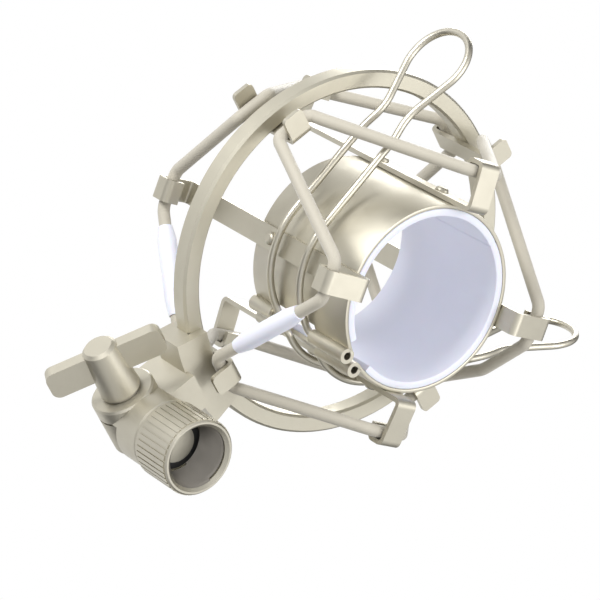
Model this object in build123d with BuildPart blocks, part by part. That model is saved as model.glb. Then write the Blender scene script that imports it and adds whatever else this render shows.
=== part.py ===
"""Elastic shock mount for a large studio microphone, with a swivelling stand adapter.

Millimetres and degrees. +Z is up along the microphone's axis, and the origin is the centre of
the clamp that grips the microphone. The stand adapter is on the +Y side.
"""
from build123d import *
import math
import os

# ---- clamp band: a split steel sleeve with a soft liner ----
band_outer_r = 24.5
band_wall = 1.0
band_height = 40.0
liner_wall = 2.0
split_azimuth = 90.0
liner_end_angle = 12.0
flap_root_angle = 31.0
flap_root_gap_angle = 0.8

# ---- rolled knuckles along the split ----
knuckle_angle = 5.3
knuckle_stand_off = 1.0
knuckle_wall = 0.9
knuckle_end_inset = 0.5

# ---- squeeze handles of bent wire ----
wire_d = 1.9
wire_in_knuckle_gap = 0.12
wire_side_gap = 0.65
wire_end_bend_r = 2.2
wire_end_in_knuckle = 6.0
leg_half_spacing = 6.3
handle_root_z = 2.6
neck_half_spacing = 4.6
loop_half_width = 9.4
loop_length = 11.2
neck_from_tip = 25.0
shoulder_from_tip = 32.0
shoulder_bend_r = 15.0
neck_bend_r = 12.0
loop_start_bend_r = 9.0
left_handle = {"tip_azimuth": 228.9, "tip_r": 63.0, "tip_z": 0.6, "side_angle": 43.0, "side_bend_r": 22.0}
right_handle = {"tip_azimuth": 322.8, "tip_r": 71.4, "tip_z": 3.6, "side_angle": 33.0, "side_bend_r": 20.0}

# ---- flat strips that carry the clamp, hooked at both ends ----
strip_azimuths = (50.0, 140.0, 230.0, 320.0)
strip_width = 5.8
strip_thickness = 1.2
strip_low_z = -26.8
strip_high_z = 51.6
hook_outer_r = 37.2
hook_lean = 1.1
rivet_d = 2.0
rivet_hole_gap = 0.03
rivet_head_d = 3.4
rivet_head_height = 1.1
rivet_heights = (-11.5, 13.4)

# ---- outer ring and the posts that hold the elastics off it ----
ring_outer_r = 48.3
ring_radial = 4.7
ring_height = 5.4
ring_mid_z = 17.5
ring_edge = 0.6
post_azimuths = {"back": 90.0, "left": 180.0, "front": 270.0, "right": 0.0}
post_width = 5.8
post_thickness = 1.2
post_half_height = 11.5
post_plate_outer_r = 50.0

# ---- elastic cords ----
cord_d = 3.2
cord_gap = 0.2
cord_turn_r = 2.6
cord_turn_clearance = 0.45
cord_bend_at_handle = 4.6
cord_bend_at_handle_share = 0.42
cord_bend_at_handle_r = 12.0
joint_sleeve_d = 5.0
joint_sleeve_length = 24.0
joint_sleeve_gap = 0.1
cord_end_gap = 0.4

# ---- lug on the ring and its swivel tongue ----
pivot_past_ring = 19.7
lug_half_angle = 14.0
lug_outer_r = 53.5
lug_inner_r = 44.6
lug_lip = 2.8
tongue_half_x = 5.0
tongue_r = 8.3
tongue_root_overlap = 1.0

# ---- stand adapter: swivel body, threaded collar and clamp screw ----
cheek_outer_x = 9.4
head_r = 8.3
washer_thickness = 0.5
washer_gap = 0.05
washer_r = 6.5
slot_floor_below_pivot = 11.0
body_r = 9.4
back_wall_below_pivot = 5.5
tongue_end_gap = 0.2
body_edge = 0.5
collar_gap = 0.2
collar_r = 10.0
collar_mouth_z = -10.8
collar_length = 14.1
collar_bore_r = 7.94
collar_top_wall = 2.2
thread_relief_r = 8.2
thread_relief_height = 2.6
collar_mouth_chamfer = 0.9
collar_edge = 0.6
collar_plain_band = 1.6
knurl_count = 40
knurl_groove_r = 0.45
spigot_r = 5.0
spigot_running_gap = 0.06
spigot_tail = 0.8
snap_ring_r = 7.0
snap_ring_thickness = 1.0
snap_ring_gap = 0.1
snap_ring_fit_gap = 0.03
snap_groove_depth = 0.7
stud_r = 3.0
stud_running_gap = 0.05
stud_clearance = 0.2
stud_in_hub = 11.0
nut_across_flats = 10.0
nut_thickness = 3.2
nut_pocket_depth = 2.2
nut_pocket_gap = 0.1
stud_past_nut = 1.2
hub_r = 5.3
hub_tip_r = 4.4
hub_length = 14.2
hub_gap = 0.05
hub_edge = 0.8
thrust_washer_r = 4.9
thrust_washer_thickness = 0.8
wing_half_span = 15.3
wing_width = 7.6
wing_thickness = 3.3
wing_from_hub_end = 1.2
wing_corner_r = 2.2
wing_edge = 0.5
wing_angle = 26.6

# ---- worked out from the sizes above ----
band_inner_r = band_outer_r - band_wall
liner_inner_r = band_inner_r - liner_wall
band_bottom = -band_height / 2
band_top = band_height / 2
wire_r = wire_d / 2
knuckle_centre_r = band_outer_r + knuckle_stand_off
knuckle_inner_r = wire_r + wire_in_knuckle_gap
knuckle_outer_r = knuckle_inner_r + knuckle_wall
knuckle_window_low = handle_root_z - leg_half_spacing - wire_end_bend_r + wire_in_knuckle_gap
knuckle_window_high = handle_root_z + leg_half_spacing + wire_end_bend_r - wire_in_knuckle_gap
ring_inner_r = ring_outer_r - ring_radial
cord_r = cord_d / 2
strip_centre_r = band_outer_r + strip_thickness / 2
strip_outer_r = band_outer_r + strip_thickness
wire_side_r = strip_outer_r + wire_side_gap + wire_r
tab_centre_r = hook_outer_r - strip_thickness / 2
hook_slot = cord_d + 2 * cord_gap
strip_foot_low = strip_low_z + strip_thickness / 2
strip_foot_high = strip_high_z - strip_thickness / 2
plate_low = strip_foot_low + hook_lean
plate_high = strip_foot_high - hook_lean
lip_low = plate_low + hook_slot + strip_thickness
lip_high = plate_high - hook_slot - strip_thickness
cradle_cord_r = tab_centre_r - strip_thickness / 2 - cord_gap - cord_r
lip_end_r = cradle_cord_r - cord_r
lower_cradle_cord_z = (plate_low + lip_low) / 2
upper_cradle_cord_z = (plate_high + lip_high) / 2
post_bottom = ring_mid_z - post_half_height
post_top = ring_mid_z + post_half_height
post_face_r = math.sqrt(ring_inner_r**2 - (post_width / 2) ** 2)
post_centre_r = post_face_r - post_thickness / 2
frame_cord_r = post_face_r + cord_gap + cord_r
lower_frame_cord_z = post_bottom + post_thickness + cord_gap + cord_r
upper_frame_cord_z = post_top - post_thickness - cord_gap - cord_r
cord_corner_offset = max(post_width, strip_width) / 2 + cord_r + cord_turn_clearance
pivot_y = ring_outer_r + pivot_past_ring
pivot_z = ring_mid_z
slot_half_x = tongue_half_x + washer_thickness + 2 * washer_gap
collar_top_z = collar_mouth_z + collar_length
body_bottom_z = collar_top_z + collar_gap
collar_wall_bottom = collar_top_z - collar_top_wall
snap_ring_top = collar_wall_bottom - snap_ring_gap
snap_ring_bottom = snap_ring_top - snap_ring_thickness
spigot_bottom = snap_ring_bottom - spigot_tail
thrust_washer_inner_x = -cheek_outer_x - hub_gap
hub_inner_x = thrust_washer_inner_x - thrust_washer_thickness - hub_gap
hub_outer_x = hub_inner_x - hub_length
nut_seat_x = cheek_outer_x - nut_pocket_depth
stud_end_x = nut_seat_x + nut_thickness + stud_past_nut
stud_start_x = hub_inner_x - stud_in_hub

os.makedirs("parts", exist_ok=True)


def radial_plane(azimuth):
    """Plane through the Z axis: local x is the radius at this azimuth, local y is Z."""
    angle = math.radians(azimuth)
    return Plane(
        origin=(0, 0, 0),
        x_dir=(math.cos(angle), math.sin(angle), 0),
        z_dir=(math.sin(angle), -math.cos(angle), 0),
    )


def polar_point(radius, azimuth, z, sideways=0.0):
    """Point at a radius and azimuth, then moved sideways along the tangent."""
    angle = math.radians(azimuth)
    x = radius * math.cos(angle) - sideways * math.sin(angle)
    y = radius * math.sin(angle) + sideways * math.cos(angle)
    return (x, y, z)


def outward_plane(radius, azimuth, z):
    """Plane at a point of the band, looking outward."""
    angle = math.radians(azimuth)
    return Plane(origin=polar_point(radius, azimuth, z), z_dir=(math.cos(angle), math.sin(angle), 0))


def side_plane(x):
    """Plane across the swivel axis at this x, looking along +X."""
    return Plane(origin=(x, pivot_y, pivot_z), x_dir=(0, 1, 0), z_dir=(1, 0, 0))


def save(solid, label):
    """Name one finished piece and write it to its own file."""
    solid.label = label
    export_step(solid, f"parts/{label}.step")
    print(f"{label:28s} solids {len(solid.solids())}  volume {solid.volume:10.2f}")


def report_tube(label, solid, path_length, diameter):
    """Print how a swept tube's volume compares with its section times its length."""
    ideal = math.pi * diameter**2 / 4 * path_length
    print(f"{label}: path {path_length:.1f} mm, volume over ideal {solid.volume / ideal:.4f}")


# ---- outer ring ----
with BuildPart() as outer_ring:
    with BuildSketch(Plane.XY.offset(ring_mid_z - ring_height / 2)):
        Circle(ring_outer_r)
        Circle(ring_inner_r, mode=Mode.SUBTRACT)
    extrude(amount=ring_height)
    chamfer(outer_ring.edges().filter_by(GeomType.CIRCLE), length=ring_edge)
save(outer_ring.part, "outer_ring")


# ---- ring posts: strips bent into a U that opens outward, inside the ring at each quarter ----
def make_post(azimuth):
    plate_low_z = post_bottom + post_thickness / 2
    plate_high_z = post_top - post_thickness / 2
    with BuildPart() as post:
        with BuildSketch(radial_plane(azimuth)):
            with BuildLine():
                FilletPolyline(
                    (post_plate_outer_r, plate_low_z),
                    (post_centre_r, plate_low_z),
                    (post_centre_r, plate_high_z),
                    (post_plate_outer_r, plate_high_z),
                    radius=post_thickness,
                )
            trace(line_width=post_thickness)
        extrude(amount=post_width / 2, both=True)
        uprights = post.edges().filter_by(Axis.Z)
        corners = uprights.filter_by(lambda edge: edge.length < 1.5 * post_thickness)
        fillet(corners, radius=post_thickness)
    return post.part


for side, azimuth in post_azimuths.items():
    save(make_post(azimuth), f"ring_post_{side}")


# ---- mounting lug: a saddle over the ring with a tongue for the swivel ----
with BuildPart() as mount_lug:
    with BuildSketch(Plane.XY.offset(ring_mid_z - ring_height / 2 - lug_lip)):
        with BuildLine():
            lug_start = split_azimuth - lug_half_angle
            lug_outer = CenterArc((0, 0), lug_outer_r, lug_start, 2 * lug_half_angle)
            lug_inner = CenterArc((0, 0), lug_inner_r, lug_start, 2 * lug_half_angle)
            Line(lug_outer @ 0, lug_inner @ 0)
            Line(lug_outer @ 1, lug_inner @ 1)
        make_face()
    extrude(amount=ring_height + 2 * lug_lip)
    neck_length = pivot_y - lug_outer_r + tongue_root_overlap
    with BuildSketch(side_plane(0)):
        Circle(tongue_r)
        with Locations((-neck_length / 2, 0)):
            Rectangle(neck_length, 2 * tongue_r)
    extrude(amount=tongue_half_x, both=True)
    with BuildSketch(Plane.XY.offset(ring_mid_z - ring_height / 2)):
        Circle(ring_outer_r)
    extrude(amount=ring_height, mode=Mode.SUBTRACT)
    with BuildSketch(side_plane(0)):
        Circle(stud_r + stud_clearance)
    extrude(amount=2 * tongue_half_x, both=True, mode=Mode.SUBTRACT)
save(mount_lug.part, "mount_lug")


# ---- clamp band: one bent sheet; its two flexing ends are separate pieces of the model ----
def ring_sector(outer_r, inner_r, start, sweep_angle):
    """Sector of the band, as high as the band."""
    with BuildPart() as sector:
        with BuildSketch(Plane.XY.offset(band_bottom)):
            with BuildLine():
                outer_arc = CenterArc((0, 0), outer_r, start, sweep_angle)
                inner_arc = CenterArc((0, 0), inner_r, start, sweep_angle)
                Line(outer_arc @ 0, inner_arc @ 0)
                Line(outer_arc @ 1, inner_arc @ 1)
            make_face()
        extrude(amount=band_height)
    return sector.part


main_start = split_azimuth + flap_root_angle
main_sweep = 360 - 2 * flap_root_angle

with BuildPart() as clamp_band:
    add(ring_sector(band_outer_r, band_inner_r, main_start, main_sweep))
    for azimuth in strip_azimuths:
        for height in rivet_heights:
            with BuildSketch(outward_plane(0, azimuth, height)):
                Circle(rivet_d / 2 + rivet_hole_gap)
            extrude(amount=hook_outer_r, mode=Mode.SUBTRACT)
save(clamp_band.part, "clamp_band")

with BuildPart() as clamp_liner:
    add(ring_sector(band_inner_r, liner_inner_r, main_start, main_sweep))
save(clamp_liner.part, "clamp_liner")


def make_band_end(side):
    """End of the band with its two knuckles; side is +1 towards +X and -1 towards -X."""
    knuckle_azimuth = split_azimuth - side * knuckle_angle
    knuckle = polar_point(knuckle_centre_r, knuckle_azimuth, 0)
    flap_sweep = flap_root_angle - flap_root_gap_angle - knuckle_angle
    window_height = knuckle_window_high - knuckle_window_low
    flap = ring_sector(band_outer_r, band_inner_r, knuckle_azimuth, -side * flap_sweep)
    with BuildPart() as band_end:
        add(flap)
        with BuildSketch(Plane.XY.offset(band_bottom + knuckle_end_inset)):
            with Locations(knuckle[:2]):
                Circle(knuckle_outer_r)
        extrude(amount=band_height - 2 * knuckle_end_inset)
        with BuildSketch(Plane.XY.offset(band_bottom)):
            with Locations(knuckle[:2]):
                Circle(knuckle_inner_r)
        extrude(amount=band_height, mode=Mode.SUBTRACT)
        with BuildSketch(Plane.XY.offset(knuckle_window_low)):
            with Locations(knuckle[:2]):
                Circle(knuckle_outer_r + wire_r)
        extrude(amount=window_height, mode=Mode.SUBTRACT)
    return band_end.part


def make_liner_end(side):
    start = split_azimuth - side * liner_end_angle
    flap_sweep = flap_root_angle - flap_root_gap_angle - liner_end_angle
    return ring_sector(band_inner_r, liner_inner_r, start, -side * flap_sweep)


save(make_band_end(1), "band_end_right")
save(make_band_end(-1), "band_end_left")
save(make_liner_end(1), "liner_end_right")
save(make_liner_end(-1), "liner_end_left")


# ---- hooked strips riveted to the band ----
def make_strip(azimuth):
    with BuildPart() as strip:
        with BuildSketch(radial_plane(azimuth)):
            with BuildLine():
                FilletPolyline(
                    (lip_end_r, lip_low),
                    (tab_centre_r, lip_low),
                    (tab_centre_r, plate_low),
                    (strip_centre_r, strip_foot_low),
                    (strip_centre_r, strip_foot_high),
                    (tab_centre_r, plate_high),
                    (tab_centre_r, lip_high),
                    (lip_end_r, lip_high),
                    radius=strip_thickness,
                )
            trace(line_width=strip_thickness)
        extrude(amount=strip_width / 2, both=True)
        for height in rivet_heights:
            with BuildSketch(outward_plane(0, azimuth, height)):
                Circle(rivet_d / 2 + rivet_hole_gap)
            extrude(amount=hook_outer_r - 2 * strip_thickness, mode=Mode.SUBTRACT)
    return strip.part


for azimuth in strip_azimuths:
    save(make_strip(azimuth), f"cradle_strip_{int(azimuth):03d}")

# ---- rivets: domed heads outside, tails flush with the inside of the band ----
with BuildPart() as strip_rivets:
    for azimuth in strip_azimuths:
        for height in rivet_heights:
            with BuildSketch(outward_plane(band_inner_r, azimuth, height)):
                Circle(rivet_d / 2)
            extrude(amount=strip_outer_r - band_inner_r)
            with BuildSketch(outward_plane(strip_outer_r, azimuth, height)):
                Circle(rivet_head_d / 2)
            extrude(amount=rivet_head_height)
    dome_edges = strip_rivets.edges().filter_by(
        lambda edge: math.hypot(edge.center().X, edge.center().Y) > strip_outer_r + rivet_head_height / 2
    )
    fillet(dome_edges, radius=rivet_head_height * 0.85)
save(strip_rivets.part, "strip_rivets")


# ---- squeeze handles: one wire each, both ends in the knuckles, bent round the band to a loop ----
def handle_route(side, tip_azimuth, tip_r, tip_z, side_angle, side_bend_r):
    """Corners and bend radii of one handle's wire, from the lower knuckle to the upper one."""
    tip_angle = side * (split_azimuth - tip_azimuth) % 360
    leave_angle = tip_angle - math.degrees(math.acos(wire_side_r / tip_r))
    side_r = wire_side_r / math.cos(math.radians(leave_angle - side_angle))
    side_x, side_y, _ = polar_point(side_r, split_azimuth - side * side_angle, 0)
    tip_x, tip_y, _ = polar_point(tip_r, tip_azimuth, 0)
    run = math.hypot(tip_x - side_x, tip_y - side_y)

    def on_leg(from_tip, half_spacing, way):
        share = 1 - from_tip / run
        middle = handle_root_z + (tip_z - handle_root_z) * share
        x = side_x + (tip_x - side_x) * share
        y = side_y + (tip_y - side_y) * share
        return (x, y, middle + way * half_spacing)

    knuckle_azimuth = split_azimuth - side * knuckle_angle
    leg_z = handle_root_z - leg_half_spacing
    window_z = leg_z - wire_end_bend_r
    lower = [
        polar_point(knuckle_centre_r, knuckle_azimuth, window_z - wire_end_in_knuckle),
        polar_point(knuckle_centre_r, knuckle_azimuth, leg_z),
        (side_x, side_y, leg_z),
        on_leg(shoulder_from_tip, leg_half_spacing, -1),
        on_leg(neck_from_tip, neck_half_spacing, -1),
        on_leg(loop_length, loop_half_width, -1),
        on_leg(0, loop_half_width, -1),
    ]
    leg_z = handle_root_z + leg_half_spacing
    window_z = leg_z + wire_end_bend_r
    upper = [
        on_leg(0, loop_half_width, 1),
        on_leg(loop_length, loop_half_width, 1),
        on_leg(neck_from_tip, neck_half_spacing, 1),
        on_leg(shoulder_from_tip, leg_half_spacing, 1),
        (side_x, side_y, leg_z),
        polar_point(knuckle_centre_r, knuckle_azimuth, leg_z),
        polar_point(knuckle_centre_r, knuckle_azimuth, window_z + wire_end_in_knuckle),
    ]
    round_end_r = loop_half_width - wire_in_knuckle_gap
    one_leg = [wire_end_bend_r, side_bend_r, shoulder_bend_r, neck_bend_r, loop_start_bend_r, round_end_r]
    return lower + upper, one_leg + one_leg[::-1]


def make_tube(label, points, radii, diameter):
    """Round bar along straight runs joined by arcs."""
    with BuildPart() as tube:
        with BuildLine() as route:
            FilletPolyline(*points, radius=radii)
        with BuildSketch(Plane(origin=route.wire() @ 0, z_dir=route.wire() % 0)):
            Circle(diameter / 2)
        sweep(path=route.wire())
    report_tube(label, tube.part, route.wire().length, diameter)
    return tube.part


left_points, left_radii = handle_route(-1, **left_handle)
right_points, right_radii = handle_route(1, **right_handle)
print("handle bend radii", left_radii, right_radii)
save(make_tube("left handle", left_points, left_radii, wire_d), "wire_handle_left")
save(make_tube("right handle", right_points, right_radii, wire_d), "wire_handle_right")


# ---- elastic loops: each passes every post and hook in turn, its ends meeting in a sleeve ----
def between(first, second, share):
    return tuple(a + (b - a) * share for a, b in zip(first, second))


def elastic_corners(frame_z, cradle_z):
    """Corners of one loop, anticlockwise, from the hook after the back post round to that post."""
    stations = [(azimuth, frame_cord_r, frame_z) for azimuth in post_azimuths.values()]
    stations += [(azimuth, cradle_cord_r, cradle_z) for azimuth in strip_azimuths]
    stations.sort(key=lambda station: (station[0] - split_azimuth - 1) % 360)
    corners = []
    for azimuth, radius, z in stations:
        corners.append(polar_point(radius, azimuth, z, -cord_corner_offset))
        corners.append(polar_point(radius, azimuth, z, cord_corner_offset))
    return corners


def make_elastic(label, corners, radii):
    run_length = math.dist(corners[-1], corners[0])
    half_gap_share = cord_end_gap / 2 / run_length
    start = between(corners[-1], corners[0], 0.5 + half_gap_share)
    end = between(corners[-1], corners[0], 0.5 - half_gap_share)
    return make_tube(label, [start] + corners + [end], radii, cord_d)


def make_joint_sleeve(corners):
    """Soft tube over the join, in the middle of the run from the back post to the next hook."""
    middle = between(corners[-1], corners[0], 0.5)
    direction = tuple(b - a for a, b in zip(corners[-1], corners[0]))
    with BuildPart() as sleeve:
        with BuildSketch(Plane(origin=middle, z_dir=direction)):
            Circle(joint_sleeve_d / 2)
            Circle(cord_r + joint_sleeve_gap, mode=Mode.SUBTRACT)
        extrude(amount=joint_sleeve_length / 2, both=True)
    return sleeve.part


lower_corners = elastic_corners(lower_frame_cord_z, lower_cradle_cord_z)
upper_corners = elastic_corners(upper_frame_cord_z, upper_cradle_cord_z)
lower_sleeve = make_joint_sleeve(lower_corners)
upper_sleeve = make_joint_sleeve(upper_corners)

# the lower loop is pressed aside where it crosses the right handle, between the strip at 320
# degrees and the post at 0 degrees
lower_radii = [cord_turn_r] * len(lower_corners)
upper_radii = [cord_turn_r] * len(upper_corners)
right_post = polar_point(frame_cord_r, 0, lower_frame_cord_z, -cord_corner_offset)
crossing_index = min(range(len(lower_corners)), key=lambda i: math.dist(lower_corners[i], right_post))
x, y, z = between(right_post, lower_corners[crossing_index - 1], cord_bend_at_handle_share)
lower_corners.insert(crossing_index, (x, y, z - cord_bend_at_handle))
lower_radii.insert(crossing_index, cord_bend_at_handle_r)
print("cord bend radii", sorted(set(lower_radii)), sorted(set(upper_radii)))
save(make_elastic("lower loop", lower_corners, lower_radii), "lower_elastic")
save(make_elastic("upper loop", upper_corners, upper_radii), "upper_elastic")
save(lower_sleeve, "lower_joint_sleeve")
save(upper_sleeve, "upper_joint_sleeve")

# ---- swivel body: a turned bar slotted for the tongue, with a spigot down into the collar ----
with BuildPart() as turned_bar:
    with BuildSketch(Plane.XY.offset(body_bottom_z)):
        with Locations((0, pivot_y)):
            Circle(body_r)
    extrude(amount=pivot_z + head_r - body_bottom_z)
    chamfer(turned_bar.edges().group_by(Axis.Z)[0], length=body_edge)
    with BuildSketch(side_plane(0)):
        Circle(head_r)
        with Locations((0, -head_r)):
            Rectangle(4 * head_r, 2 * head_r)
    extrude(amount=2 * body_r, both=True, mode=Mode.INTERSECT)

with BuildPart() as swivel_body:
    with BuildSketch(side_plane(-cheek_outer_x)):
        Circle(head_r)
    extrude(amount=cheek_outer_x - slot_half_x)
    chamfer(swivel_body.edges().filter_by(GeomType.CIRCLE).group_by(Axis.X)[0], length=body_edge)
    add(turned_bar.part)
    with BuildSketch(side_plane(0)):
        Circle(head_r + tongue_end_gap)
        with Locations((0, 2 * head_r - back_wall_below_pivot)):
            Rectangle(6 * head_r, 4 * head_r)
        with Locations((-2 * head_r, 2 * head_r - slot_floor_below_pivot)):
            Rectangle(4 * head_r, 4 * head_r)
    extrude(amount=slot_half_x, both=True, mode=Mode.SUBTRACT)
    with BuildSketch(side_plane(0)):
        Circle(stud_r + stud_running_gap)
    extrude(amount=2 * cheek_outer_x, both=True, mode=Mode.SUBTRACT)
    with BuildSketch(side_plane(nut_seat_x)):
        RegularPolygon(nut_across_flats / 2 + nut_pocket_gap, 6, major_radius=False)
    extrude(amount=2 * nut_pocket_depth, mode=Mode.SUBTRACT)
    with BuildSketch(Plane.XY.offset(spigot_bottom)):
        with Locations((0, pivot_y)):
            Circle(spigot_r)
    extrude(amount=body_bottom_z - spigot_bottom)
    with BuildSketch(Plane.XY.offset(snap_ring_bottom - snap_ring_fit_gap)):
        with Locations((0, pivot_y)):
            Circle(spigot_r + 1)
            Circle(spigot_r - snap_groove_depth, mode=Mode.SUBTRACT)
    extrude(amount=snap_ring_thickness + 2 * snap_ring_fit_gap, mode=Mode.SUBTRACT)
save(swivel_body.part, "swivel_body")

# ---- snap ring under the collar's top wall ----
with BuildPart() as snap_ring:
    with BuildSketch(Plane.XY.offset(snap_ring_bottom)):
        with Locations((0, pivot_y)):
            Circle(snap_ring_r)
            Circle(spigot_r - snap_groove_depth + snap_ring_fit_gap, mode=Mode.SUBTRACT)
    extrude(amount=snap_ring_thickness)
save(snap_ring.part, "snap_ring")

# ---- threaded collar with straight knurling ----
with BuildPart() as thread_collar:
    with BuildSketch(Plane.XY.offset(collar_mouth_z)):
        with Locations((0, pivot_y)):
            Circle(collar_r)
    extrude(amount=collar_length)
    chamfer(thread_collar.edges().filter_by(GeomType.CIRCLE), length=collar_edge)
    with BuildSketch(Plane.XY.offset(collar_mouth_z + collar_plain_band)):
        with Locations((0, pivot_y)):
            with PolarLocations(collar_r, knurl_count):
                Circle(knurl_groove_r)
    extrude(amount=collar_length - 2 * collar_plain_band, mode=Mode.SUBTRACT)
    with BuildSketch(Plane.XY.offset(collar_mouth_z)):
        with Locations((0, pivot_y)):
            Circle(collar_bore_r)
    extrude(amount=collar_length - collar_top_wall, mode=Mode.SUBTRACT)
    mouth_edge = thread_collar.edges().group_by(Axis.Z)[0].sort_by(SortBy.RADIUS)[0]
    chamfer(mouth_edge, length=collar_mouth_chamfer)
    with BuildSketch(Plane.XY.offset(collar_wall_bottom - thread_relief_height)):
        with Locations((0, pivot_y)):
            Circle(thread_relief_r)
    extrude(amount=thread_relief_height, mode=Mode.SUBTRACT)
    with BuildSketch(Plane.XY.offset(collar_wall_bottom)):
        with Locations((0, pivot_y)):
            Circle(spigot_r + spigot_running_gap)
    extrude(amount=collar_top_wall, mode=Mode.SUBTRACT)
save(thread_collar.part, "thread_collar")

# ---- friction washers on both sides of the tongue ----
with BuildPart() as friction_washers:
    for side in (-1, 1):
        inner_x = side * (tongue_half_x + washer_gap)
        with BuildSketch(side_plane(inner_x)):
            Circle(washer_r)
            Circle(stud_r + stud_clearance, mode=Mode.SUBTRACT)
        extrude(amount=side * washer_thickness)
save(friction_washers.part, "friction_washers")

# ---- clamp screw: T-handle, stud, thrust washer and nut ----
with BuildPart() as t_handle:
    with BuildSketch(side_plane(hub_outer_x)):
        Circle(hub_tip_r)
    with BuildSketch(side_plane(hub_inner_x)):
        Circle(hub_r)
    loft()
    chamfer(t_handle.edges().group_by(Axis.X)[0], length=hub_edge)
    with BuildSketch(side_plane(hub_outer_x + wing_from_hub_end)):
        Rectangle(2 * wing_half_span, wing_thickness, rotation=wing_angle)
    extrude(amount=wing_width)
    wing_direction = (0, math.cos(math.radians(wing_angle)), math.sin(math.radians(wing_angle)))
    across_wing = Axis((0, pivot_y, pivot_z), (0, -wing_direction[2], wing_direction[1]))
    tip_corners = t_handle.edges().filter_by(across_wing).filter_by(
        lambda edge: abs(edge.length - wing_thickness) < 1e-3
    )
    fillet(tip_corners, radius=wing_corner_r)
    with BuildSketch(side_plane(stud_start_x)):
        Circle(stud_r)
    extrude(amount=stud_in_hub, mode=Mode.SUBTRACT)
save(t_handle.part, "t_handle")

with BuildPart() as clamp_stud:
    with BuildSketch(side_plane(stud_start_x)):
        Circle(stud_r)
    extrude(amount=stud_end_x - stud_start_x)
    chamfer(clamp_stud.edges().group_by(Axis.X)[-1], length=body_edge)
save(clamp_stud.part, "clamp_stud")

with BuildPart() as thrust_washer:
    with BuildSketch(side_plane(thrust_washer_inner_x - thrust_washer_thickness)):
        Circle(thrust_washer_r)
        Circle(stud_r + stud_running_gap, mode=Mode.SUBTRACT)
    extrude(amount=thrust_washer_thickness)
save(thrust_washer.part, "thrust_washer")

with BuildPart() as clamp_nut:
    with BuildSketch(side_plane(nut_seat_x)):
        RegularPolygon(nut_across_flats / 2, 6, major_radius=False)
        Circle(stud_r + stud_running_gap, mode=Mode.SUBTRACT)
    extrude(amount=nut_thickness)
save(clamp_nut.part, "clamp_nut")
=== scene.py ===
import bpy
import bmesh
import math
from mathutils import Matrix, Vector


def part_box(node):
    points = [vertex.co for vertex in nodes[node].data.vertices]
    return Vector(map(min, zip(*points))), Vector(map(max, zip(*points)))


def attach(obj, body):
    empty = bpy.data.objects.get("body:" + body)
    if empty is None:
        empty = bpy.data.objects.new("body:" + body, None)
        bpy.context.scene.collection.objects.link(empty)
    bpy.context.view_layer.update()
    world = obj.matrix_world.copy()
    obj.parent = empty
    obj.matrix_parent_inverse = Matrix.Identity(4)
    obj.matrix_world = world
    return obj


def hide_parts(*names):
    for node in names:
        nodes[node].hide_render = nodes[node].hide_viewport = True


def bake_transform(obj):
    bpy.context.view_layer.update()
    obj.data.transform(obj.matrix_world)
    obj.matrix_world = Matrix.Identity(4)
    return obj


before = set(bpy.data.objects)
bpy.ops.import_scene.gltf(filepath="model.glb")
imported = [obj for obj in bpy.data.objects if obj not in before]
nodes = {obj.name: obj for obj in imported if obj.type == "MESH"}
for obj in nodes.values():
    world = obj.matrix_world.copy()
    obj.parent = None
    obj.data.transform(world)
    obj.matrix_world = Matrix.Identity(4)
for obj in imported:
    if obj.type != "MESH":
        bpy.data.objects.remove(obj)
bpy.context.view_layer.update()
bpy.context.scene.view_settings.view_transform = "Standard"


# Outer ring. A turned steel ring, bead blasted and plated in a pale champagne nickel. Everything
# else hangs from it or is welded to it.
def satin_plating(name, lit, shaded, rough=(0.26, 0.4), grain=(900.0, 900.0, 900.0)):
    """Champagne plating: slow colour drift, fine stretched grain and faint handling marks."""
    plating = bpy.data.materials.new(name)
    plating.use_nodes = True
    tree = plating.node_tree
    skin = tree.nodes["Principled BSDF"]
    skin.inputs["Metallic"].default_value = 1.0
    place = tree.nodes.new("ShaderNodeTexCoord")

    drift = tree.nodes.new("ShaderNodeTexNoise")
    drift.inputs["Scale"].default_value = 24.0
    drift.inputs["Detail"].default_value = 4.0
    tree.links.new(place.outputs["Object"], drift.inputs["Vector"])
    tone = tree.nodes.new("ShaderNodeValToRGB")
    tone.color_ramp.elements[0].position = 0.3
    tone.color_ramp.elements[0].color = (*shaded, 1)
    tone.color_ramp.elements[1].position = 0.7
    tone.color_ramp.elements[1].color = (*lit, 1)
    tree.links.new(drift.outputs["Fac"], tone.inputs["Fac"])
    tree.links.new(tone.outputs["Color"], skin.inputs["Base Color"])

    stretch = tree.nodes.new("ShaderNodeMapping")
    stretch.inputs["Scale"].default_value = grain
    tree.links.new(place.outputs["Object"], stretch.inputs["Vector"])
    blasting = tree.nodes.new("ShaderNodeTexNoise")
    blasting.inputs["Scale"].default_value = 2.0
    blasting.inputs["Detail"].default_value = 6.0
    tree.links.new(stretch.outputs["Vector"], blasting.inputs["Vector"])

    marks = tree.nodes.new("ShaderNodeTexNoise")
    marks.inputs["Scale"].default_value = 260.0
    marks.inputs["Detail"].default_value = 5.0
    tree.links.new(place.outputs["Object"], marks.inputs["Vector"])
    dullness = tree.nodes.new("ShaderNodeMapRange")
    dullness.inputs["From Min"].default_value = 0.3
    dullness.inputs["From Max"].default_value = 0.7
    dullness.inputs["To Min"].default_value = rough[0]
    dullness.inputs["To Max"].default_value = rough[1]
    tree.links.new(marks.outputs["Fac"], dullness.inputs["Value"])
    tree.links.new(dullness.outputs["Result"], skin.inputs["Roughness"])

    relief = tree.nodes.new("ShaderNodeBump")
    relief.inputs["Strength"].default_value = 0.25
    relief.inputs["Distance"].default_value = 0.00004
    tree.links.new(blasting.outputs["Fac"], relief.inputs["Height"])
    tree.links.new(relief.outputs["Normal"], skin.inputs["Normal"])
    return plating


def finish_node(name, material):
    """Puts one material on a piece that keeps the shape it was machined to."""
    piece = nodes[name]
    piece.data.materials.clear()
    piece.data.materials.append(material)


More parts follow.
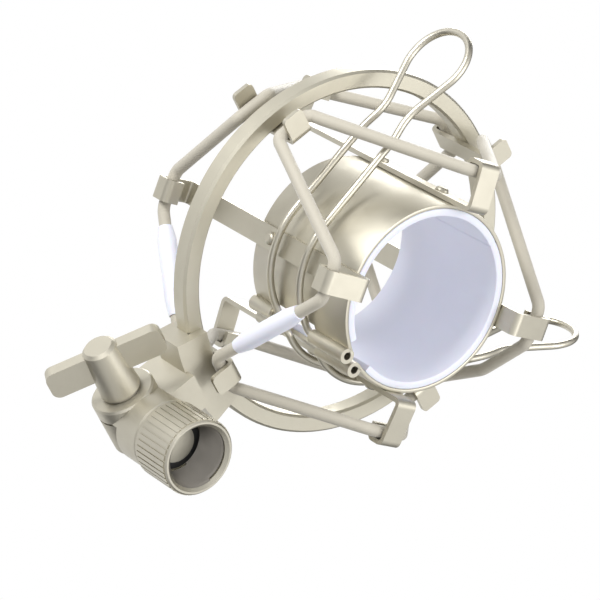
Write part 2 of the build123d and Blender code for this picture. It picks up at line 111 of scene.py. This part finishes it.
ring_plating = satin_plating("ring_plating", (0.60, 0.57, 0.475), (0.56, 0.53, 0.44), (0.44, 0.52))
finish_node("outer_ring", ring_plating)


# Ring posts. Four strips of plated sheet, each folded into a U and welded inside the ring, with
# brushed faces from the strip mill.
sheet_plating = satin_plating(
    "sheet_plating", (0.58, 0.55, 0.46), (0.54, 0.51, 0.425), (0.42, 0.50), (2600.0, 2600.0, 260.0)
)
for side in ("back", "left", "front", "right"):
    finish_node("ring_post_" + side, sheet_plating)


# Mounting lug. A cast saddle brazed over the ring, with a tongue that the swivel pinches.
cast_plating = satin_plating("cast_plating", (0.58, 0.55, 0.46), (0.53, 0.50, 0.42), (0.46, 0.56))
finish_node("mount_lug", cast_plating)


# Swivel body. Turned from bar, slotted for the tongue, with round cheeks and a hexagonal pocket.
turned_plating = satin_plating("turned_plating", (0.58, 0.55, 0.46), (0.53, 0.50, 0.42), (0.40, 0.48))
finish_node("swivel_body", turned_plating)


# Friction washers. Two natural nylon discs between the tongue and the cheeks.
nylon = bpy.data.materials.new("nylon")
nylon.use_nodes = True
nylon_tree = nylon.node_tree
nylon_skin = nylon_tree.nodes["Principled BSDF"]
nylon_skin.inputs["Roughness"].default_value = 0.45
nylon_skin.inputs["Subsurface Weight"].default_value = 0.15
nylon_skin.inputs["Subsurface Scale"].default_value = 0.001
nylon_place = nylon_tree.nodes.new("ShaderNodeTexCoord")
nylon_cloud = nylon_tree.nodes.new("ShaderNodeTexNoise")
nylon_cloud.inputs["Scale"].default_value = 300.0
nylon_tone = nylon_tree.nodes.new("ShaderNodeValToRGB")
nylon_tone.color_ramp.elements[0].color = (0.72, 0.70, 0.64, 1)
nylon_tone.color_ramp.elements[1].color = (0.84, 0.82, 0.77, 1)
nylon_tree.links.new(nylon_place.outputs["Object"], nylon_cloud.inputs["Vector"])
nylon_tree.links.new(nylon_cloud.outputs["Fac"], nylon_tone.inputs["Fac"])
nylon_tree.links.new(nylon_tone.outputs["Color"], nylon_skin.inputs["Base Color"])
finish_node("friction_washers", nylon)


# Clamp screw. A plated stud in a T-shaped handle, with a washer under its hub and a nut let into
# the far cheek.
bright_steel = satin_plating("bright_steel", (0.52, 0.50, 0.45), (0.46, 0.44, 0.40), (0.30, 0.40))
for name in ("clamp_stud", "thrust_washer", "clamp_nut"):
    finish_node(name, bright_steel)
finish_node("t_handle", cast_plating)


# Thread collar. Turned from bar, straight knurled outside, cut with the stand thread inside, and
# chamfered at its mouth. It turns freely round the swivel body's spigot.
def start_piece(name):
    """Takes the object that was just added as this piece, in edit mode with all of it selected."""
    piece = bpy.context.object
    piece.name = name
    piece.data.name = name
    bpy.ops.object.mode_set(mode="EDIT")
    return piece


def clear_selection():
    if bpy.context.object is not None and bpy.context.object.mode == "EDIT":
        bpy.ops.object.mode_set(mode="OBJECT")
    bpy.ops.object.select_all(action="DESELECT")


def select_where(test, kind="FACE"):
    """In edit mode, selects only the faces or edges whose middle passes the test."""
    mesh = bmesh.from_edit_mesh(bpy.context.object.data)
    bpy.ops.mesh.select_mode(type=kind)
    bpy.ops.mesh.select_all(action="DESELECT")
    for item in mesh.faces if kind == "FACE" else mesh.edges:
        middle = item.calc_center_median() if kind == "FACE" else (item.verts[0].co + item.verts[1].co) / 2
        item.select_set(bool(test(middle, item)))
    bmesh.update_edit_mesh(bpy.context.object.data)


def close_piece(piece, material, smooth=35.0):
    """Leaves edit mode, bakes the object's place into its mesh, and smooths its soft edges."""
    bpy.ops.mesh.select_all(action="SELECT")
    bpy.ops.mesh.remove_doubles(threshold=0.000002)
    bpy.ops.mesh.normals_make_consistent(inside=False)
    bpy.ops.object.mode_set(mode="OBJECT")
    bpy.ops.object.transform_apply(location=True, rotation=True, scale=True)
    bpy.ops.object.shade_smooth_by_angle(angle=math.radians(smooth))
    piece.data.materials.clear()
    piece.data.materials.append(material)
    clear_selection()


def turn_profile(name, centre, profile, facets, closed=True):
    """Turned piece: a circle extruded ring by ring through (radius, height) steps."""
    clear_selection()
    first_r, first_z = profile[0]
    bpy.ops.mesh.primitive_circle_add(
        vertices=facets, radius=first_r, fill_type="NOTHING", location=(centre[0], centre[1], first_z)
    )
    piece = start_piece(name)
    bpy.ops.object.mode_set(mode="OBJECT")
    bpy.ops.object.transform_apply(location=True, rotation=True, scale=True)
    bpy.ops.object.mode_set(mode="EDIT")
    bpy.ops.mesh.select_all(action="SELECT")
    radius, height = first_r, first_z
    for next_r, next_z in profile[1:] + ([profile[0]] if closed else []):
        bpy.ops.mesh.extrude_region_move(TRANSFORM_OT_translate={"value": (0, 0, next_z - height)})
        grow = next_r / radius
        bpy.ops.transform.resize(value=(grow, grow, 1), center_override=(centre[0], centre[1], next_z))
        radius, height = next_r, next_z
    return piece


adapter_axis = (0.0, 0.068)
collar_low, collar_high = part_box("thread_collar")
mouth_z = collar_low.z
crown_z = collar_high.z
collar_steps = [
    (0.00884, mouth_z),
    (0.00935, mouth_z),
    (0.00972, mouth_z + 0.0004),
    (0.00972, mouth_z + 0.0008),
    (0.00972, crown_z - 0.0013),
    (0.00972, crown_z - 0.0005),
    (0.00925, crown_z),
    (0.00506, crown_z),
    (0.00506, crown_z - 0.0022),
    (0.00802, crown_z - 0.0022),
    (0.00802, mouth_z + 0.0009),
]
collar = turn_profile("collar_body", adapter_axis, collar_steps, 160)
bpy.ops.mesh.select_all(action="SELECT")
bpy.ops.mesh.remove_doubles(threshold=0.000002)
bpy.ops.mesh.normals_make_consistent(inside=False)


def on_rib(middle, face):
    if not mouth_z + 0.0010 < middle.z < crown_z - 0.0014:
        return False
    if math.hypot(middle.x, middle.y - adapter_axis[1]) < 0.0095:
        return False
    turn = math.degrees(math.atan2(middle.y - adapter_axis[1], middle.x)) % 360
    return int(turn / 360 * 160) % 4 < 3


select_where(on_rib)
bpy.ops.mesh.extrude_region_shrink_fatten(TRANSFORM_OT_shrink_fatten={"value": 0.00027})
collar_plating = satin_plating("collar_plating", (0.57, 0.54, 0.455), (0.51, 0.485, 0.41), (0.38, 0.46))
close_piece(collar, collar_plating, 28.0)
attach(collar, "collar")
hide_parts("thread_collar")

# Stand thread. Cut in the collar's bore, 27 turns to the inch, its flanks coloured dark as painted shade
# of the deep bore.
thread_pitch = 0.000941
thread_turns = 11
clear_selection()
bpy.ops.mesh.primitive_circle_add(
    vertices=3, radius=0.001, fill_type="NOTHING", location=(adapter_axis[0], adapter_axis[1], 0)
)
thread = start_piece("stand_thread")
flank = bmesh.from_edit_mesh(thread.data)
flank.verts.ensure_lookup_table()
thread_start = mouth_z + 0.0007
thread_root_r = 0.00801
thread_crest_r = 0.00748
flank_places = (
    (thread_root_r, thread_start),
    (thread_crest_r, thread_start + thread_pitch / 2),
    (thread_root_r, thread_start + thread_pitch),
)
for point, place in zip(flank.verts, flank_places):
    point.co = Vector((place[0], 0, place[1]))
flank.edges.ensure_lookup_table()
long_edge = [e for e in flank.edges if abs(abs(e.verts[0].co.z - e.verts[1].co.z) - thread_pitch) < 1e-6]
bmesh.ops.delete(flank, geom=long_edge, context="EDGES")
bmesh.update_edit_mesh(thread.data)
bpy.ops.object.mode_set(mode="OBJECT")
winding = thread.modifiers.new("winding", "SCREW")
winding.axis = "Z"
winding.angle = math.radians(360)
winding.screw_offset = thread_pitch
winding.iterations = thread_turns
winding.steps = 96
winding.render_steps = 96
winding.use_merge_vertices = True
winding.merge_threshold = 0.000002
bpy.ops.object.modifier_apply(modifier="winding")
bpy.ops.object.mode_set(mode="EDIT")
# The thread's colour is painted shade: much darker than the collar, standing for the shade deep in the
# bore.
thread_painted_shade = satin_plating("thread_painted_shade", (0.30, 0.28, 0.25), (0.2, 0.185, 0.16), (0.34, 0.44))
close_piece(thread, thread_painted_shade, 40.0)
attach(thread, "collar")

# Snap ring. Blackened spring steel in a groove of the spigot, up inside the collar.
spring_black = satin_plating("spring_black", (0.12, 0.12, 0.12), (0.07, 0.07, 0.07), (0.35, 0.5))
finish_node("snap_ring", spring_black)


# Clamp band. One strip of spring steel bent into a sleeve, its edges at the split rolled outward
# into knuckles for the handle wires. It is shown as two halves that meet opposite the split.
def bent_half(name, side, section, stop_angle):
    """Bends a sheet section, standing opposite the split, half way round to the split."""
    inner_r, outer_r, heights = section
    clear_selection()
    middle_r = (inner_r + outer_r) / 2
    bpy.ops.mesh.primitive_plane_add(size=1, location=(0, -middle_r, (heights[0] + heights[1]) / 2))
    piece = start_piece(name)
    centre = (0, -middle_r, (heights[0] + heights[1]) / 2)
    bpy.ops.object.mode_set(mode="OBJECT")
    bpy.ops.object.transform_apply(location=True, rotation=True, scale=True)
    bpy.ops.object.mode_set(mode="EDIT")
    bpy.ops.transform.resize(
        value=(heights[1] - heights[0], outer_r - inner_r, 1), center_override=centre
    )
    bpy.ops.transform.rotate(
        value=math.pi / 2, orient_axis="Y", center_override=centre
    )
    for upper in heights[2:]:
        select_where(lambda middle, edge: is_top(edge), "EDGE")
        top = max(v.co.z for v in bmesh.from_edit_mesh(piece.data).verts)
        bpy.ops.mesh.extrude_region_move(TRANSFORM_OT_translate={"value": (0, 0, upper - top)})
    bpy.ops.mesh.select_mode(type="FACE")
    bpy.ops.mesh.select_all(action="SELECT")
    bpy.ops.mesh.spin(
        steps=72, angle=-side * math.radians(180 - stop_angle), center=(0, 0, 0), axis=(0, 0, 1)
    )
    return piece


def is_top(edge):
    top = max(v.co.z for v in bmesh.from_edit_mesh(bpy.context.object.data).verts)
    return all(abs(v.co.z - top) < 1e-6 for v in edge.verts)


def round_rims(offset, low, high):
    """Rounds the long edges of the sheet at its two rims."""
    select_where(
        lambda middle, edge: all(min(abs(v.co.z - low), abs(v.co.z - high)) < 1e-6 for v in edge.verts)
        and abs(edge.verts[0].co.xy.length - edge.verts[1].co.xy.length) < 1e-5,
        "EDGE",
    )
    bpy.ops.mesh.bevel(offset=offset, segments=2, affect="EDGES", clamp_overlap=True)


def at_polar(radius, azimuth, height, sideways=0.0):
    angle = math.radians(azimuth)
    return Vector(
        (
            radius * math.cos(angle) - sideways * math.sin(angle),
            radius * math.sin(angle) + sideways * math.cos(angle),
            height,
        )
    )


band_rim = 0.020
window_low = -0.00578
window_high = 0.01098
knuckle_r = 0.0255
knuckle_angle = 5.3
sheet_end_angle = 12.0
for side, half in ((1, "right"), (-1, "left")):
    band_section = (0.0235, 0.0245, (-band_rim, window_low, window_high, band_rim))
    band = bent_half("band_" + half, side, band_section, sheet_end_angle)

    def at_free_end(middle, face):
        end = at_polar(0.024, 90 - side * sheet_end_angle, 0)
        near = (middle.xy - end.xy).length < 0.0004 and abs(face.normal.z) < 0.1
        return near and not (window_low < middle.z < window_high)

    select_where(at_free_end)
    reach_angle = -side * math.radians(sheet_end_angle - knuckle_angle)
    bpy.ops.mesh.spin(steps=4, angle=reach_angle, center=(0, 0, 0), axis=(0, 0, 1))
    knuckle = at_polar(knuckle_r, 90 - side * knuckle_angle, 0)
    bpy.ops.mesh.spin(
        steps=22, angle=side * math.radians(322), center=(knuckle.x, knuckle.y, 0), axis=(0, 0, 1)
    )
    bpy.ops.mesh.select_all(action="SELECT")
    bpy.ops.mesh.remove_doubles(threshold=0.000002)
    round_rims(0.00022, -band_rim, band_rim)
    close_piece(band, sheet_plating, 35.0)
    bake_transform(band)
    if side == 1:
        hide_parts("band_end_right", "clamp_band")
    else:
        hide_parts("band_end_left")

# Clamp liner. Soft pale lavender rubber glued inside the band, its rims a little rounded, with
# the faint sheen and dust marks of silicone.
liner_rubber = bpy.data.materials.new("liner_rubber")
liner_rubber.use_nodes = True
liner_tree = liner_rubber.node_tree
liner_skin = liner_tree.nodes["Principled BSDF"]
liner_skin.inputs["Subsurface Weight"].default_value = 0.12
liner_skin.inputs["Subsurface Scale"].default_value = 0.002
liner_skin.inputs["Sheen Weight"].default_value = 0.2
liner_place = liner_tree.nodes.new("ShaderNodeTexCoord")
liner_cloud = liner_tree.nodes.new("ShaderNodeTexNoise")
liner_cloud.inputs["Scale"].default_value = 30.0
liner_cloud.inputs["Detail"].default_value = 6.0
liner_tone = liner_tree.nodes.new("ShaderNodeValToRGB")
liner_tone.color_ramp.elements[0].position = 0.25
liner_tone.color_ramp.elements[0].color = (0.72, 0.74, 0.84, 1)
liner_tone.color_ramp.elements[1].position = 0.75
liner_tone.color_ramp.elements[1].color = (0.78, 0.79, 0.89, 1)
liner_tree.links.new(liner_place.outputs["Object"], liner_cloud.inputs["Vector"])
liner_tree.links.new(liner_cloud.outputs["Fac"], liner_tone.inputs["Fac"])
liner_tree.links.new(liner_tone.outputs["Color"], liner_skin.inputs["Base Color"])
liner_dust = liner_tree.nodes.new("ShaderNodeTexNoise")
liner_dust.inputs["Scale"].default_value = 1400.0
liner_dust.inputs["Detail"].default_value = 4.0
liner_tree.links.new(liner_place.outputs["Object"], liner_dust.inputs["Vector"])
liner_matt = liner_tree.nodes.new("ShaderNodeMapRange")
liner_matt.inputs["To Min"].default_value = 0.42
liner_matt.inputs["To Max"].default_value = 0.62
liner_tree.links.new(liner_dust.outputs["Fac"], liner_matt.inputs["Value"])
liner_tree.links.new(liner_matt.outputs["Result"], liner_skin.inputs["Roughness"])
liner_relief = liner_tree.nodes.new("ShaderNodeBump")
liner_relief.inputs["Strength"].default_value = 0.2
liner_relief.inputs["Distance"].default_value = 0.00005
liner_tree.links.new(liner_dust.outputs["Fac"], liner_relief.inputs["Height"])
liner_tree.links.new(liner_relief.outputs["Normal"], liner_skin.inputs["Normal"])
for side, half in ((1, "right"), (-1, "left")):
    liner = bent_half("liner_" + half, side, (0.0215, 0.0235, (-band_rim, band_rim)), sheet_end_angle)
    bpy.ops.mesh.select_all(action="SELECT")
    bpy.ops.mesh.remove_doubles(threshold=0.000002)
    round_rims(0.0005, -band_rim, band_rim)
    close_piece(liner, liner_rubber, 40.0)
    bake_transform(liner)
    if side == 1:
        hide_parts("liner_end_right", "clamp_liner")
    else:
        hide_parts("liner_end_left")


# Cradle strips and their rivets. Four plated strips along the band, hooked over the elastic at
# both ends, each held by two domed rivets.
for azimuth in ("050", "140", "230", "320"):
    finish_node("cradle_strip_" + azimuth, sheet_plating)
finish_node("strip_rivets", turned_plating)


# Squeeze handles. Spring wire bent into a bottle shape, its ends turned into the knuckles.
wire_plating = satin_plating("wire_plating", (0.60, 0.57, 0.48), (0.55, 0.52, 0.44), (0.34, 0.42))
finish_node("wire_handle_left", wire_plating)
finish_node("wire_handle_right", wire_plating)


# Elastic loops. Round braided elastic, dyed champagne, laced tight between the ring's posts and
# the clamp's hooks. Each loop is one length whose ends meet inside a soft sleeve.
braid = bpy.data.materials.new("braided_elastic")
braid.use_nodes = True
braid_tree = braid.node_tree
braid_skin = braid_tree.nodes["Principled BSDF"]
braid_skin.inputs["Roughness"].default_value = 0.6
braid_skin.inputs["Sheen Weight"].default_value = 0.35
braid_uv = braid_tree.nodes.new("ShaderNodeUVMap")
braid_uv.uv_map = "UVMap"
strand_waves = []
for slant in (1, -1):
    lay = braid_tree.nodes.new("ShaderNodeMapping")
    lay.inputs["Scale"].default_value = (1, slant, 1)
    braid_tree.links.new(braid_uv.outputs["UV"], lay.inputs["Vector"])
    strands = braid_tree.nodes.new("ShaderNodeTexWave")
    strands.wave_type = "BANDS"
    strands.bands_direction = "DIAGONAL"
    strands.inputs["Scale"].default_value = 1.9
    braid_tree.links.new(lay.outputs["Vector"], strands.inputs["Vector"])
    strand_waves.append(strands)
crossing = braid_tree.nodes.new("ShaderNodeMath")
crossing.operation = "MULTIPLY"
braid_tree.links.new(strand_waves[0].outputs["Fac"], crossing.inputs[0])
braid_tree.links.new(strand_waves[1].outputs["Fac"], crossing.inputs[1])
braid_tone = braid_tree.nodes.new("ShaderNodeValToRGB")
braid_tone.color_ramp.elements[0].color = (0.44, 0.41, 0.34, 1)
braid_tone.color_ramp.elements[1].color = (0.56, 0.525, 0.44, 1)
braid_tree.links.new(crossing.outputs["Value"], braid_tone.inputs["Fac"])
braid_tree.links.new(braid_tone.outputs["Color"], braid_skin.inputs["Base Color"])
braid_relief = braid_tree.nodes.new("ShaderNodeBump")
braid_relief.inputs["Strength"].default_value = 0.2
braid_relief.inputs["Distance"].default_value = 0.00012
braid_tree.links.new(crossing.outputs["Value"], braid_relief.inputs["Height"])
braid_tree.links.new(braid_relief.outputs["Normal"], braid_skin.inputs["Normal"])

cord_r = 0.0016
post_cord_r = 0.04530
hook_cord_r = 0.03420
lace_offset = 0.00495


def lace_corners(post_z, hook_z):
    """The loop's corners, anticlockwise from the hook after the back post round to that post."""
    corners = []
    for azimuth in (140, 180, 230, 270, 320, 360, 410, 450):
        if azimuth % 90 == 0:
            radius, height = post_cord_r, post_z
        else:
            radius, height = hook_cord_r, hook_z
        corners.append(at_polar(radius, azimuth, height, -lace_offset))
        corners.append(at_polar(radius, azimuth, height, lace_offset))
    return corners


def lay_elastic(name, corners):
    clear_selection()
    bpy.ops.mesh.primitive_circle_add(vertices=len(corners), radius=0.04, fill_type="NOTHING")
    route = start_piece(name)
    line = bmesh.from_edit_mesh(route.data)
    line.verts.ensure_lookup_table()
    for point, corner in zip(line.verts, corners):
        point.co = corner
    bmesh.update_edit_mesh(route.data)
    bpy.ops.mesh.select_mode(type="VERT")
    bpy.ops.mesh.select_all(action="SELECT")
    bpy.ops.mesh.bevel(offset=0.0016, segments=8, affect="VERTICES")
    bpy.ops.object.mode_set(mode="OBJECT")
    length = sum(
        (route.data.vertices[e.vertices[0]].co - route.data.vertices[e.vertices[1]].co).length
        for e in route.data.edges
    )
    bpy.ops.object.convert(target="CURVE")
    route.data.bevel_depth = cord_r
    route.data.bevel_resolution = 5
    route.data.twist_mode = "MINIMUM"
    bpy.ops.object.convert(target="MESH")
    bpy.ops.object.shade_smooth()
    for layer in route.data.uv_layers:
        layer.name = "UVMap"
        for spot in layer.data:
            spot.uv = (spot.uv[0] * 3, spot.uv[1] * length / 0.0032)
    route.data.materials.clear()
    route.data.materials.append(braid)
    clear_selection()
    return route


lower_lace = lace_corners(0.0090, -0.0227)
lower_lace.insert(10, lower_lace[10].lerp(lower_lace[9], 0.42) - Vector((0, 0, 0.0046)))
lower_loop = lay_elastic("lower_loop", lower_lace)
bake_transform(lower_loop)
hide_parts("lower_elastic")
upper_lace = lace_corners(0.0260, 0.0475)
upper_loop = lay_elastic("upper_loop", upper_lace)
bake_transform(upper_loop)
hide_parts("upper_elastic")

# Joint sleeves. Short soft tubes, pale and slightly translucent, pushed over the join of each loop
# and gripping it.
sleeve_rubber = liner_rubber.copy()
sleeve_rubber.name = "sleeve_rubber"
for name, node, lace, blend_start, blend_end in (
    ("lower_sleeve", "lower_joint_sleeve", lower_lace, 0.0070, -0.0200),
    ("upper_sleeve", "upper_joint_sleeve", upper_lace, 0.0280, 0.0450),
):
    run = lace[0] - lace[-1]
    clear_selection()
    bpy.ops.mesh.primitive_cylinder_add(
        vertices=40,
        radius=0.00245,
        depth=0.016,
        end_fill_type="NGON",
        location=(lace[0] + lace[-1]) / 2,
        rotation=run.to_track_quat("Z", "Y").to_euler(),
    )
    sleeve = start_piece(name)
    bpy.ops.object.mode_set(mode="OBJECT")
    bpy.ops.object.transform_apply(location=True, rotation=True, scale=True)
    bpy.ops.object.mode_set(mode="EDIT")
    middle = (lace[0] + lace[-1]) / 2
    way = run.normalized()
    for end in (-1, 1):
        select_where(lambda spot, face: len(face.verts) > 4 and (spot - middle).dot(way) * end > 0)
        bpy.ops.mesh.extrude_region_move(TRANSFORM_OT_translate={"value": way * 0.004 * end})
        bpy.ops.transform.resize(value=(0.76, 0.76, 0.76), center_override=middle + way * 0.012 * end)
    close_piece(sleeve, sleeve_rubber, 50.0)
    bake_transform(sleeve)
    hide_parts(node)


# Studio. A pale floor well below the mount, which a stand holds up, a pale room, and soft lights.
clear_selection()
bpy.ops.mesh.primitive_plane_add(size=8, location=(0, 0, -0.76))
floor = bpy.context.object
floor.name = "floor"
floor_paint = bpy.data.materials.new("floor_paint")
floor_paint.use_nodes = True
floor_paint.node_tree.nodes["Principled BSDF"].inputs["Base Color"].default_value = (0.86, 0.86, 0.86, 1)
floor_paint.node_tree.nodes["Principled BSDF"].inputs["Roughness"].default_value = 0.8
floor.data.materials.append(floor_paint)

room = bpy.data.worlds.new("room")
bpy.context.scene.world = room
room.use_nodes = True
room_light = room.node_tree.nodes["Background"]
room_side = room.node_tree.nodes.new("ShaderNodeTexCoord")
room_height = room.node_tree.nodes.new("ShaderNodeSeparateXYZ")
room_fade = room.node_tree.nodes.new("ShaderNodeValToRGB")
room_fade.color_ramp.elements[0].position = 0.35
room_fade.color_ramp.elements[0].color = (0.14, 0.14, 0.14, 1)
room_fade.color_ramp.elements[1].position = 0.6
room_fade.color_ramp.elements[1].color = (1, 1, 1, 1)
room.node_tree.links.new(room_side.outputs["Generated"], room_height.inputs["Vector"])
room.node_tree.links.new(room_height.outputs["Z"], room_fade.inputs["Fac"])
room.node_tree.links.new(room_fade.outputs["Color"], room_light.inputs["Color"])
room_light.inputs["Strength"].default_value = 1.0

towards_viewer = Vector((-0.5902, 0.2910, -0.7529)).normalized()
picture_up = Vector((-0.7215, -0.6085, 0.3304)).normalized()
picture_right = picture_up.cross(towards_viewer).normalized()
aim = Vector((-0.0112, 0.0230, -0.0023))


def soft_light(name, right, up, near, size, power):
    """Square soft box, placed from the camera's side, facing the mount."""
    lamp = bpy.data.lights.new(name, "AREA")
    lamp.shape = "SQUARE"
    lamp.size = size
    lamp.energy = power
    holder = bpy.data.objects.new(name, lamp)
    bpy.context.collection.objects.link(holder)
    holder.location = aim + picture_right * right + picture_up * up + towards_viewer * near
    holder.rotation_euler = (aim - holder.location).to_track_quat("-Z", "Y").to_euler()


soft_light("key_light", -0.35, 0.55, 0.45, 0.35, 6.5)
soft_light("fill_light", 0.6, -0.1, 0.4, 0.5, 2.5)
soft_light("back_light", 0.2, 0.4, -0.6, 0.4, 3.0)

viewfinder = bpy.data.cameras.new("camera")
viewfinder.lens = 220.2
viewfinder.sensor_width = 36.0
camera = bpy.data.objects.new("camera", viewfinder)
bpy.context.collection.objects.link(camera)
turn = Matrix((picture_right, picture_up, towards_viewer)).transposed().to_4x4()
camera.matrix_world = Matrix.Translation(aim + towards_viewer * 0.9) @ turn
bpy.context.scene.camera = camera

bpy.context.view_layer.update()
